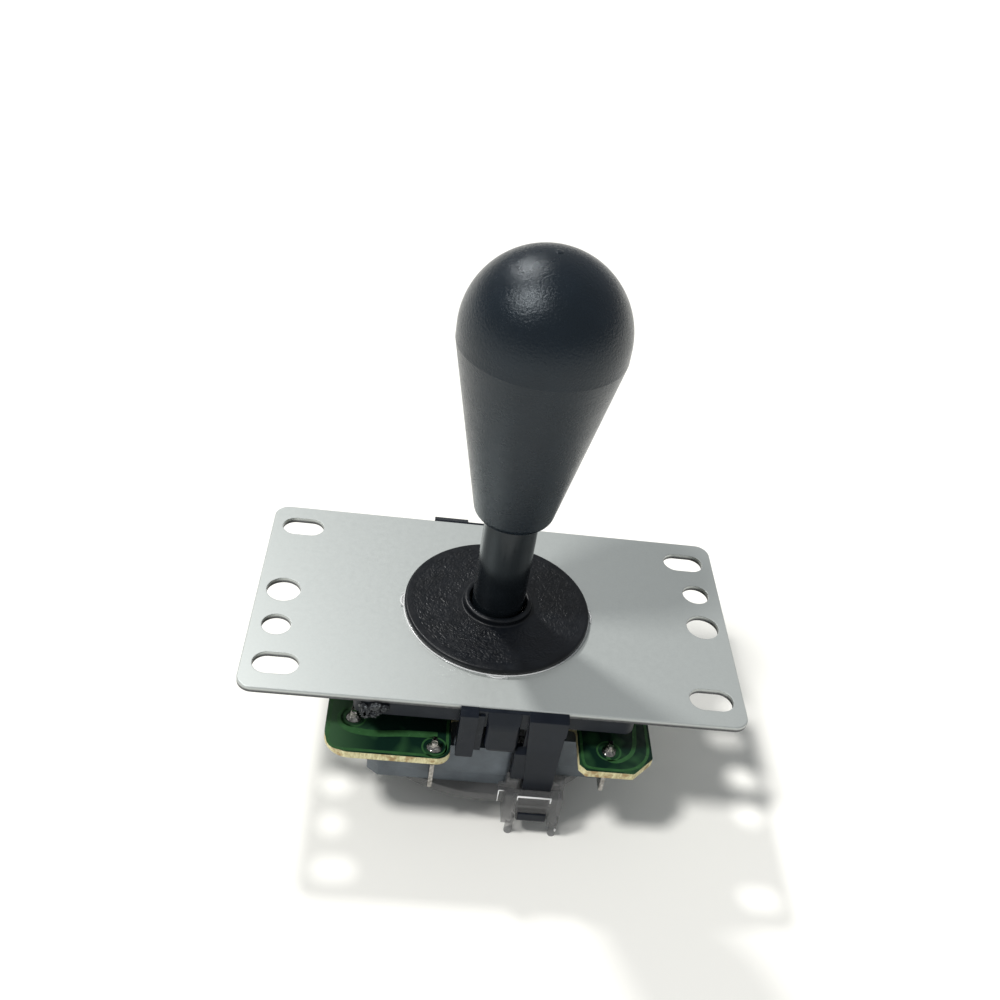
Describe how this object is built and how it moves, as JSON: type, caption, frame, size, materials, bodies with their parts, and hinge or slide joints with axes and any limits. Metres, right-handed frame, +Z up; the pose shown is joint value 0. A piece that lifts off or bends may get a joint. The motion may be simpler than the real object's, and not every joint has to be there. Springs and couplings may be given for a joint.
{
  "type": "arcade joystick lever",
  "caption": "Bat-topped lever on a flat slotted mounting plate, with a circuit board of microswitches and a clear square gate beneath.",
  "frame": {"origin": "centre of the mounting plate's top face, on the lever's axis at rest", "axes": "+Z up out of the panel along the lever, +X along the plate's long side, +Y to the back"},
  "size_m": [0.095, 0.062, 0.1098],
  "materials": {
    "zinc_steel": "bright zinc plate, lightly clouded",
    "screw_steel": "plated, dull",
    "black_nylon": "moulded, slight sheen",
    "white_acetal": "smooth, waxy",
    "turned_steel": "turned and plated",
    "gloss_black": "glossy tube",
    "grip_black": "satin gloss",
    "brass": "turned",
    "clear_film": "thin clear film",
    "washer_black": "fine texture, smooth rim",
    "spring_steel": "drawn, oiled",
    "actuator_black": "moulded",
    "board_green": "solder mask over glass laminate",
    "header_cream": "moulded",
    "tinned_metal": "tinned",
    "clear_gate": "clear moulding, polished",
    "switch_black": "moulded, blue-black sheen",
    "plunger_red": "moulded"
  },
  "bodies": {
    "housing": {"mounting_plate": "zinc_steel", "plate_screws": "screw_steel", "body": "black_nylon", "spring_seat": "white_acetal", "circuit_board": "board_green", "header_housing": "header_cream", "header_pins": "tinned_metal", "solder_joints": "tinned_metal", "gate": "clear_gate", "switch_base_front": "switch_black", "switch_cover_front": "switch_black", "switch_terminals_front": "tinned_metal", "switch_base_right": "switch_black", "switch_cover_right": "switch_black", "switch_terminals_right": "tinned_metal", "switch_base_back": "switch_black", "switch_cover_back": "switch_black", "switch_terminals_back": "tinned_metal", "switch_base_left": "switch_black", "switch_cover_left": "switch_black", "switch_terminals_left": "tinned_metal"},
    "spring_end": {"spring": "spring_steel"},
    "pivot": {"pivot_ball": "white_acetal", "actuator": "actuator_black"},
    "lever": {"shaft": "turned_steel", "shaft_cover": "gloss_black", "grip": "grip_black", "grip_insert": "brass", "e_clip": "spring_steel"},
    "slip_film": {"slip_film": "clear_film"},
    "dust_washer": {"dust_washer": "washer_black"},
    "plunger_front": {"plunger_front": "plunger_red"},
    "plunger_right": {"plunger_right": "plunger_red"},
    "plunger_back": {"plunger_back": "plunger_red"},
    "plunger_left": {"plunger_left": "plunger_red"}
  },
  "joints": [
    {"name": "tilt_front_back", "type": "hinge", "parent": "housing", "child": "spring_end", "pos_m": [0, 0, -0.0055], "axis": [1, 0, 0], "range_deg": [-8.5, 8.5], "stiffness_Nm_per_rad": 0.75, "deforming": ["spring"]},
    {"name": "tilt_left_right", "type": "hinge", "parent": "spring_end", "child": "pivot", "pos_m": [0, 0, -0.0055], "axis": [0, 1, 0], "range_deg": [-8.5, 8.5], "stiffness_Nm_per_rad": 0.75},
    {"name": "shaft_spin", "type": "hinge", "parent": "pivot", "child": "lever", "pos_m": [0, 0, -0.0055], "axis": [0, 0, 1], "continuous": true},
    {"name": "film_slide", "type": "slide", "parent": "housing", "child": "slip_film", "axis": [1, 0, 0], "range_m": [-0.00105, 0.00105]},
    {"name": "washer_slide", "type": "slide", "parent": "slip_film", "child": "dust_washer", "axis": [0, 1, 0], "range_m": [-0.00105, 0.00105]},
    {"name": "plunger_front_slide", "type": "slide", "parent": "housing", "child": "plunger_front", "axis": [0, 1, 0], "range_m": [-0.00167, 0.00167]},
    {"name": "plunger_back_slide", "type": "slide", "parent": "housing", "child": "plunger_back", "axis": [0, 1, 0], "range_m": [-0.00167, 0.00167]},
    {"name": "plunger_right_slide", "type": "slide", "parent": "housing", "child": "plunger_right", "axis": [1, 0, 0], "range_m": [-0.00167, 0.00167]},
    {"name": "plunger_left_slide", "type": "slide", "parent": "housing", "child": "plunger_left", "axis": [1, 0, 0], "range_m": [-0.00167, 0.00167]}
  ],
  "couplings": [
    {"joint": "film_slide", "follows": "tilt_left_right", "m_per_rad": 0.007},
    {"joint": "washer_slide", "follows": "tilt_front_back", "m_per_rad": -0.007},
    {"joint": "plunger_front_slide", "follows": "tilt_front_back", "m_per_rad": 0.0112},
    {"joint": "plunger_back_slide", "follows": "tilt_front_back", "m_per_rad": 0.0112},
    {"joint": "plunger_right_slide", "follows": "tilt_left_right", "m_per_rad": -0.0112},
    {"joint": "plunger_left_slide", "follows": "tilt_left_right", "m_per_rad": -0.0112}
  ]
}
